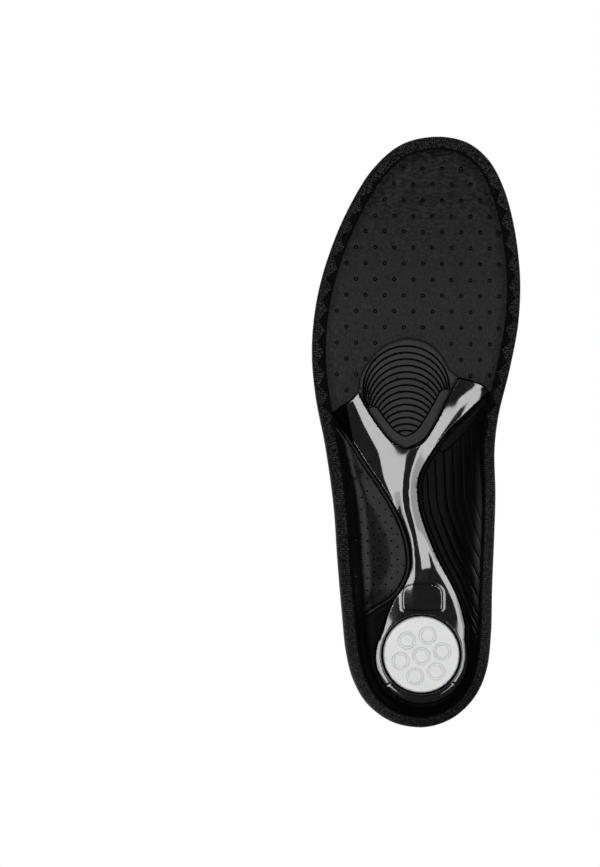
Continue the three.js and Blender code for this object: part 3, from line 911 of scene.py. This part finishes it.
def medial_under(x, y, depth):
    off = from_rib_border(x, y)
    offsets = np.array((BEAD_GROOVE, *RIB_OFFSETS, 40))
    rib = np.clip(np.searchsorted(offsets, off) - 1, 0, len(offsets) - 2)
    share = np.clip((off - offsets[rib]) / (offsets[rib + 1] - offsets[rib]), 0, 1)
    waves = 0.5 * groove(from_medial_groove(x, y), 0.8) - 0.4 * np.sin(math.pi * share) * (1 - share)
    near_label = from_medial_label(x, y)
    band = ease(MEDIAL_LABEL_HALF, MEDIAL_LABEL_HALF - 0.3, near_label)
    strip = 0.3 * groove(near_label - MEDIAL_LABEL_HALF, 0.6) - 0.2 * band
    fade = ease(0.2, 1.2, depth) * ease(1.9, 2.4, from_medial_border(x, y))
    fade *= 1 - 0.65 * ease(8, 20, off)
    face = smooth_under(x, y, depth) + 0.25 + bead(from_medial_border(x, y))
    return face + waves * fade * (1 - band) + strip


def lateral_under(x, y, depth):
    off = from_lateral_border(x, y)
    crown = 1.25 * (1 - (1 - np.clip(off / 14, 0, 1)) ** 2)
    return smooth_under(x, y, depth) + 0.3 + bead(off) - crown * ease(0, 8, depth)


def build_panels():
    border_lines = (0.45, 0.85, 1.25, 1.5, 1.75, 2.05)
    loop = grown(lateral_loop, -PIECE_GAP)
    dots = well_inside(staggered(DOT_START, DOT_PITCH, (-2, 9), (-4, 46)), lateral_loop, 2.6, 6.4)
    points, pit_depth = pits(dots, DOT_PIT, 7)
    lateral = plate(
        "lateral_panel_dotted", [loop], SATIN, lambda x, y, d: lateral_under(x, y, d) + pit_depth(x, y),
        lambda x, y, d: over_panel(x, y, d) + 0.5, 1.1,
        [points, contour_points(from_lateral_border, border_lines, loop)],
        # Painted shade: the inside of each dot's pit takes the near-black SHADE.
        second=(SHADE, lambda x, y: nearest_gap(as_points(x, y), dots) < 0.28),
    )
    loop = grown(medial_loop, -PIECE_GAP)
    ribs = contour_points(from_medial_groove, (-0.7, -0.35, 0, 0.35, 0.7), loop, 0.6)
    ribs = ribs[from_medial_label(*ribs.T) > MEDIAL_LABEL_HALF + 0.5]
    borders = contour_points(from_medial_border, border_lines, loop)
    label = contour_points(from_medial_label, [MEDIAL_LABEL_HALF + g for g in LABEL_LINES], loop)
    ribs, label = (points[from_medial_border(*points.T) > MEDIAL_BORDER] for points in (ribs, label))
    extra = [ribs, borders, label]
    medial = plate("medial_panel_ribbed", [loop], PANEL, medial_under, over_panel, 1.0, extra)
    loop = grown(shell_loop, -PIECE_GAP)
    shell = plate("heel_shell_gloss", [loop], SHELL, smooth_under, over_panel, 0.9)
    return lateral, medial, shell


# ---- shank frame, badge and gel pad


def badge_loop():
    """The badge's outline: straight and round-cornered at the heel end, and arched at the other."""
    b = BADGE
    middle, half = (b["left"] + b["right"]) / 2, (b["right"] - b["left"]) / 2
    corner = b["corner"]
    a = np.linspace(0, math.pi, 40)
    crown = np.column_stack([
        middle + half * np.sign(np.cos(a)) * np.abs(np.cos(a)) ** 0.55,
        b["shoulder"] + (b["crown"] - b["shoulder"]) * np.sin(a) ** 0.75,
    ])
    low = [circle((x, b["heel"] + corner), corner, 17)[i:j] for x, i, j in (
        (b["left"] + corner, 8, 13), (b["right"] - corner, 12, 17))]
    return respaced(joined(crown, *low), 0.25, closed=True)


badge_edge = badge_loop()


def neighbours(grid):
    """The sum of each cell's four neighbours."""
    around = np.pad(grid, 1, mode="edge")
    return around[:-2, 1:-1] + around[2:, 1:-1] + around[1:-1, :-2] + around[1:-1, 2:]


def from_gel(x, y):
    """Distance from the middle of the gel pad."""
    return np.hypot(x - GEL_CENTRE[0], y - GEL_CENTRE[1])


def relaxed_relief():
    """The frame's relief, 1 along its crests and 0 at its edges, like a skin stretched between them.

    Returned on a grid, with the grid's first point.
    """
    low = frame_loop.min(0) - 2 * RELIEF_STEP
    size = np.ceil((frame_loop.max(0) + 2 * RELIEF_STEP - low) / RELIEF_STEP).astype(int)
    size += -size % 8
    relief = None
    for coarse in (8, 4, 2, 1):
        step = RELIEF_STEP * coarse
        nx, ny = size // coarse
        points = plan_grid(low[0] + step * np.arange(nx), low[1] + step * np.arange(ny)).reshape(-1, 2)
        given = np.full(len(points), np.nan)
        for level, polygon in FRAME_LEVELS:
            given[inside(points, [np.array(polygon, float)])] = level
        given[from_gel(*points.T) < GEL_SEAT_RADIUS] = GEL_SEAT_LEVEL
        beside_pad = inside(points, [pad_loop]) | (distance_to(points, pad_loop) < FRAME_CREST)
        given[~inside(points, [frame_loop]) & ~inside(points, [sheet_loop])] = 0
        given[beside_pad] = np.interp(points[beside_pad, 1], *FRAME_CREST_LEVELS)
        given = given.reshape(ny, nx)
        fixed = ~np.isnan(given)
        relief = np.full((ny, nx), 0.5) if relief is None else np.kron(relief, np.ones((2, 2)))
        for _ in range(400):
            relief[fixed] = given[fixed]
            relief = neighbours(relief) / 4
        relief[fixed] = given[fixed]
    for _ in range(3):
        relief = (neighbours(relief) + 2 * relief) / 6
    return relief, low


relief_grid, relief_low = relaxed_relief()


def frame_face(x, y):
    """The frame's bulging face, clear of the ground."""
    level = underside(x, y)
    height = np.clip(level - 0.12, 0.1, RELIEF_HEIGHT)
    return level - 0.05 - (height - 0.05) * sampled(relief_grid, relief_low, RELIEF_STEP, x, y)


def from_badge(x, y):
    """Signed distance from the badge's edge, positive inside it."""
    points = as_points(x, y)
    return np.where(inside(points, [badge_edge]), 1, -1) * distance_to(points, badge_edge)


def from_heel_label(x, y):
    """Signed distance from the border of the label arc below the gel, positive inside it."""
    radius = from_gel(x, y)
    turn = np.arctan2(GEL_CENTRE[1] - y, x - GEL_CENTRE[0])
    lowest, highest = (math.radians(a) for a in HEEL_LABEL_TURN)
    return np.minimum.reduce([
        radius - HEEL_LABEL_RADII[0], HEEL_LABEL_RADII[1] - radius,
        (turn - lowest) * radius, (highest - turn) * radius,
    ])


def frame_under(x, y, depth):
    """The frame's face with the badge's pocket and rim, the size bars and the label's border."""
    pocket = 0.8 * ease(-0.12, 0.02, from_badge(x, y))
    rim = 0.06 * groove(from_badge(x, y) + 0.45, 0.6)
    from_bar = np.min([distance_from(np.array(bar))(x, y) for bar in SIZE_BARS], axis=0)
    bars = 0.05 * ease(0.5, 0.3, from_bar)
    label = 0.12 * groove(from_heel_label(x, y), 0.5)
    return frame_face(x, y) + rounded(depth, 0.45) + pocket - rim - bars + label


def badge_under(x, y, depth):
    middle, half = BADGE_TICKS["middle"], BADGE_TICKS["half"]
    within = ease(half + 0.2, half - 0.2, np.abs(x - middle))
    ticks = sum(groove(y - level, 0.45) * within for level in BADGE_TICKS["at"])
    return frame_face(x, y) + 0.12 + rounded(depth, 0.25) - 0.06 * ticks


def build_frame():
    loop = grown(frame_loop, -PIECE_GAP)
    hole = circle(GEL_CENTRE, GEL_HOLE_RADIUS, 150)[::-1]
    rims = [grown(badge_edge, g) for g in (-0.02, 0.12, 0.3, 0.45, 0.6, 0.8)]
    rims += [grown(loop, -g) for g in (0.24, FRAME_RIM, 0.6)]
    rims += [circle(GEL_CENTRE, GEL_HOLE_RADIUS + g, 150) for g in (0.12, 0.26, 0.45)]
    label = contour_points(from_heel_label, (-0.4, -0.15, 0.15, 0.4), loop)
    label = label[from_gel(*label.T) > GEL_SEAT_RADIUS]

    # Painted shade: the heel label's border and the frame's rim take the near-black SHADE, where edge and
    # groove shade falls, and so does the lateral arm's end, where the gloss would catch a lamp.
    def in_painted_shade(x, y):
        arm_end = (inset(x, y) < ARM_END_INSET) & (x > 0) & (y > 110)
        rim = distance_to(as_points(x, y), loop) < FRAME_RIM
        return (np.abs(from_heel_label(x, y)) < 0.16) | rim | arm_end

    shank = plate(
        "shank_frame_gloss", [loop, hole], GLOSS, frame_under, over_panel, 0.6, [*rims, label], crease=50,
        second=(SHADE, in_painted_shade),
    )
    badge = plate(
        "badge_plate_bar", [grown(badge_edge, -0.12)], BADGE_SKIN, badge_under,
        lambda x, y, d: frame_face(x, y) + 0.78, 0.4,
    )
    return shank, badge


def from_gel_ring(x, y):
    """Distance from the middle of the nearest of the gel's moulded rings."""
    return np.min([np.hypot(x - cx, y - cy) for cx, cy in GEL_RINGS], axis=0)


def gel_under(x, y, depth):
    inner, outer = GEL_RING_RADII
    off = from_gel_ring(x, y)
    between = ease(inner - 0.05, inner + 0.15, off) * ease(outer + 0.1, outer - 0.1, off)
    rings = groove(off - outer, 0.5) + groove(off - inner, 0.45) + 0.5 * between
    return 0.28 * rings + rounded(depth, 0.7)


# Where the gel's rings and notch take the darker copy of the gel, as painted shade.
def on_gel_line(x, y):
    inner, outer = GEL_RING_RADII
    off = from_gel_ring(x, y)
    from_notch = np.abs(np.hypot(x - GEL_NOTCH[0], y - GEL_NOTCH[1]) - GEL_NOTCH_RADIUS)
    return (np.abs(off - outer) < 0.15) | (np.abs(off - inner) < 0.13) | (from_notch < 0.14)


def build_gel():
    inner, outer = GEL_RING_RADII
    radii = [inner + g for g in (-0.23, -0.13, 0.13, 0.23)] + [outer + g for g in (-0.25, -0.14, 0.14, 0.25)]
    lines = [circle((cx, cy), r, 56) for cx, cy in GEL_RINGS for r in radii]
    lines += [circle(GEL_NOTCH, GEL_NOTCH_RADIUS + g, 30) for g in (-0.14, 0.14)]
    return plate(
        "gel_disc", [circle(GEL_CENTRE, GEL_VISIBLE_RADIUS, 160)], GEL, gel_under,
        lambda x, y, d: GEL_TOP - rounded(d, 0.4), 0.6, lines, second=(GEL_LINE_SHADE, on_gel_line),
    )


# ---- foam, cover, tape and seams


def foam_under(x, y, depth):
    seat = from_gel(x, y) < FOAM_SEAT_RADIUS
    return np.where(seat, GEL_TOP, underside(x, y) + PANEL_THICK) + 0.1


def build_foam():
    return plate(
        "foam_core", [grown(outline, -0.9)[::2]], FOAM, foam_under,
        lambda x, y, d: topside(x, y) - COVER_THICK - 0.1, 2.4,
    )


def build_cover():
    dashes = staggered((0, 0), (2 * DASH_PITCH[0], DASH_PITCH[1] / 2), (-7, 9), (-2, 162))
    dashes = dashes[inset(*dashes.T) > 5.0]
    points, dash_depth = pits(dashes, DASH_PIT, 6, DASH_STRETCH)
    # Painted shade: the top face inside each dash's pit takes the near-black SHADE.
    return plate(
        "cover_knit", [grown(outline, -1.1)[::2]], COVER, lambda x, y, d: topside(x, y) - COVER_THICK,
        lambda x, y, d: topside(x, y) - dash_depth(x, y), 1.5, [points],
        second=(SHADE, lambda x, y: nearest_gap(as_points(x, y), dashes) < DASH_REACH), second_on_top=True,
    )


def along_outline(per_rib):
    """The outline with a whole number of points for each rib of the tape."""
    perimeter = np.linalg.norm(np.roll(outline, -1, axis=0) - outline, axis=1).sum()
    line = respaced(outline, perimeter / (round(perimeter / RIB_PITCH) * per_rib), closed=True)
    run = np.linalg.norm(np.roll(line, -1, axis=0) - line, axis=1)
    return line, outward(line), np.concatenate([[0], np.cumsum(run)[:-1]]), run.sum()


def tooth(s, total, y, on_sole):
    """How far in from the outline the seam's zigzag is, at each length s round the outline."""
    t = s / total * SEAM_COUNT % 1
    zigzag = SEAM_BAND[0] + (SEAM_BAND[1] - SEAM_BAND[0]) * np.abs(2 * t - 1)
    if not on_sole:
        return zigzag
    shown = ease(*SOLE_TEETH[0], y) * (1 - ease(*SOLE_TEETH[1], y))
    return zigzag * shown + SOLE_SEAM * (1 - shown)


def ribbing(s, total):
    return 0.5 - 0.5 * np.cos(2 * math.pi * s / total * round(total / RIB_PITCH))


def ring_faces(rows, count):
    """Quads between rows of points round a closed line, and from the last row back to the first."""
    i = np.arange(count)
    after = (i + 1) % count
    return np.vstack([
        np.column_stack([r * count + i, q * count + i, q * count + after, r * count + after])
        for r, q in zip(range(rows), [*range(1, rows), 0])
    ])


def tape_height(d, s, total, y, on_sole):
    """The tape's thickness at a distance d in from the outline: puffed outside the seam's teeth."""
    puffed = ease(0.35, -0.45, d - tooth(s, total, y, on_sole))
    ribs = ribbing(s, total)
    return 0.14 + puffed * (0.42 + 0.16 * ribs) + 0.04 * ribs


def build_tape():
    """The tape: its sole face, its wall, its cover face, and the lining between it and the insole."""
    line, normals, s, total = along_outline(POINTS_PER_RIB)
    y = line[:, 1]
    # Painted shade: faces between the ribs, on the face and the wall, take the darker thread material; so do
    # the face's faces inside the seam's teeth, which are partly the seam's thread and partly painted shade.
    between_ribs = ribbing(s, total) < 0.3
    face_ds = np.array([TAPE_WIDTH, *np.linspace(TAPE_WIDTH - 0.05, 1.4, 10), 0.7])
    lining_ds = np.array([TAPE_WIDTH - 0.3, 4.4, 3.3, 2.2, 0.75])
    rows, dark = [], []

    def lay(on_sole, ds, is_face):
        for d in ds:
            p = line - normals * d
            at = np.full(len(p), d)
            raised = 0.05 + tape_height(d, s, total, y, on_sole) * (d < TAPE_WIDTH) if is_face else 0.03
            z = underside(*p.T, at) - raised if on_sole else topside(*p.T, at) + raised
            rows.append(np.column_stack([p, z]))
            dark.append(((d > tooth(s, total, y, on_sole) + 0.15) | between_ribs) & is_face)

    lay(True, face_ds, True)
    low, high = (face(*line.T, np.zeros(len(line))) for face in (underside, topside))
    for share, out in TAPE_WALL:
        p = line + normals * (out + 0.12 * ribbing(s, total) - 0.42)[:, None]
        rows.append(np.column_stack([p, low - 0.3 + (high - low + 0.6) * share]))
        dark.append(between_ribs)
    lay(False, face_ds[::-1], True)
    lay(False, lining_ds, False)
    lay(True, lining_ds[::-1], False)
    faces = ring_faces(len(rows), len(line))
    return mesh_object("edge_binding", np.vstack(rows), faces, TAPE, 80, THREAD_AND_SHADE, np.concatenate(dark))


def tube(name, path, radius, material, sides=6):
    """A closed ring of thread along a closed path."""
    ahead = np.roll(path, -1, axis=0) - np.roll(path, 1, axis=0)
    ahead /= np.linalg.norm(ahead, axis=1)[:, None]
    across = np.cross(ahead, (0, 0, 1))
    across /= np.linalg.norm(across, axis=1)[:, None]
    above = np.cross(across, ahead)
    turns = np.linspace(0, 2 * math.pi, sides, endpoint=False)
    rings = [path + radius * (math.cos(a) * across + math.sin(a) * above) for a in turns]
    faces = ring_faces(sides, len(path))[:, [0, 3, 2, 1]]
    return mesh_object(name, np.vstack(rings), faces, material, 80)


def build_seams():
    line, normals, s, total = along_outline(2)
    made = []
    for name, on_sole in (("seam_upper", False), ("seam_lower", True)):
        d = tooth(s, total, line[:, 1], on_sole)
        p = line - normals * d[:, None]
        lift = 0.4 + THREAD_RADIUS * 0.6
        z = underside(*p.T, d) - lift if on_sole else topside(*p.T, d) + lift
        made.append(tube(name, np.column_stack([p, z]), THREAD_RADIUS, THREAD_AND_SHADE))
    return made


# ---- making and riding

sheet = build_sheet()
pad = build_pad()
lateral, medial, shell = build_panels()
shank, badge = build_frame()
gel = build_gel()
foam = build_foam()
cover = build_cover()
tape = build_tape()
seam_upper, seam_lower = build_seams()

ACROSS = [
    (sheet, "forefoot_sheet", "sheet_grey"),
    (foam, "foam_base", "foam"),
    (cover, "top_cover", "cover_knit"),
    (tape, "edge_tape", "edge_knit"),
    (seam_upper, "seam_thread_top", "thread"),
    (seam_lower, "seam_thread_bottom", "thread"),
]
for piece, node, slot in ACROSS:
    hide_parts(f"{node}_rear", f"{node}_front")
    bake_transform(piece)

RIDING = [
    (pad, "metatarsal_pad", "pad_rubber"),
    (lateral, "lateral_panel", "panel_black"),
    (medial, "medial_arch_panel", "panel_black"),
    (shell, "heel_cup_shell", "gloss_shell"),
    (shank, "shank_frame", "gloss_shell"),
    (badge, "badge_plate", "badge"),
    (gel, "heel_gel_pad", "gel"),
]
for piece, node, slot in RIDING:
    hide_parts(node)
    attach(piece, "rearfoot")

# ---- camera, light and floor

VIEW_HEIGHT = 0.3564
LENS = 100.0
SENSOR = 36.0
CAMERA_X = 0.0479

camera = added("camera", bpy.data.cameras.new("camera"))
camera.data.lens = LENS
camera.data.sensor_width = SENSOR
camera.location = (CAMERA_X, 0, -VIEW_HEIGHT * LENS / SENSOR)
camera.rotation_euler = (0, math.pi, 0)
camera.data.clip_end = 10
bpy.context.scene.camera = camera


def soft_light(name, at, aim, size, radiance):
    """A rectangular soft box of a given brightness."""
    data = bpy.data.lights.new(name, "AREA")
    data.shape = "RECTANGLE"
    data.size, data.size_y = size
    data.energy = radiance * math.pi * size[0] * size[1]
    lamp = added(name, data)
    lamp.location = at
    lamp.rotation_euler = (Vector(aim) - Vector(at)).to_track_quat("-Z", "Y").to_euler()


PANELS_AT = (0.04, -0.95)
for side, low, high, radiance in (
    ("lateral_inner", 0.1, 0.46, 4.6), ("lateral_outer", 0.46, 0.8, 3.0),
    ("medial_inner", -0.46, -0.19, 4.6), ("medial_outer", -0.72, -0.46, 2.6),
):
    middle = (low + high) / 2
    aim = (middle, PANELS_AT[0], 0)
    soft_light(f"under_{side}", (middle, *PANELS_AT), aim, (high - low, 0.92), radiance)
for name, at, size, radiance in (
    ("key", (0.55, -0.45, 0.9), (0.8, 0.8), 12), ("fill", (-0.75, 0.35, 0.8), (0.8, 0.8), 8),
    ("back", (0.1, 1.0, 0.6), (0.9, 0.4), 10),
):
    soft_light(f"over_{name}", at, (0, 0, 0), size, radiance)

world = bpy.data.worlds.new("studio")
bpy.context.scene.world = world
world.use_nodes = True
tree = world.node_tree
seen = tree.nodes.new("ShaderNodeLightPath")
mix = tree.nodes.new("ShaderNodeMixShader")
around = tree.nodes["Background"]
backdrop = tree.nodes.new("ShaderNodeBackground")
for background, strength in ((around, 0.06), (backdrop, 1.0)):
    background.inputs["Color"].default_value = (1, 1, 1, 1)
    background.inputs["Strength"].default_value = strength
tree.links.new(seen.outputs["Is Camera Ray"], mix.inputs["Fac"])
tree.links.new(around.outputs["Background"], mix.inputs[1])
tree.links.new(backdrop.outputs["Background"], mix.inputs[2])
tree.links.new(mix.outputs["Shader"], tree.nodes["World Output"].inputs["Surface"])

bpy.context.scene.view_settings.view_transform = "Standard"


def build_floor():
    """A pale floor that shows from above only, so that the underside can be seen through it."""
    mesh = bpy.data.meshes.new("floor")
    corners = [(3 * x, 3 * y, 0) for x, y in ((-1, -1), (1, -1), (1, 1), (-1, 1))]
    mesh.from_pydata(corners, [], [(0, 1, 2, 3)])
    floor = added("floor", mesh)
    s = Surface(
        "floor", Roughness=0.7, Base_Color=(0.3, 0.3, 0.3, 1),
        Emission_Color=(1, 1, 1, 1), Emission_Strength=0.55,
    )
    side = s.node("ShaderNodeNewGeometry")
    clear = s.node("ShaderNodeBsdfTransparent")
    choose = s.node("ShaderNodeMixShader")
    s.link(side.outputs["Backfacing"], choose.inputs["Fac"])
    s.link(s.shader.outputs["BSDF"], choose.inputs[1])
    s.link(clear.outputs["BSDF"], choose.inputs[2])
    s.link(choose.outputs["Shader"], s.tree.nodes["Material Output"].inputs["Surface"])
    mesh.materials.append(s.material)
    floor.location.z = cad_box[0][2] - 0.0002
    for ray in ("shadow", "diffuse", "glossy", "transmission"):
        setattr(floor, f"visible_{ray}", False)


build_floor()
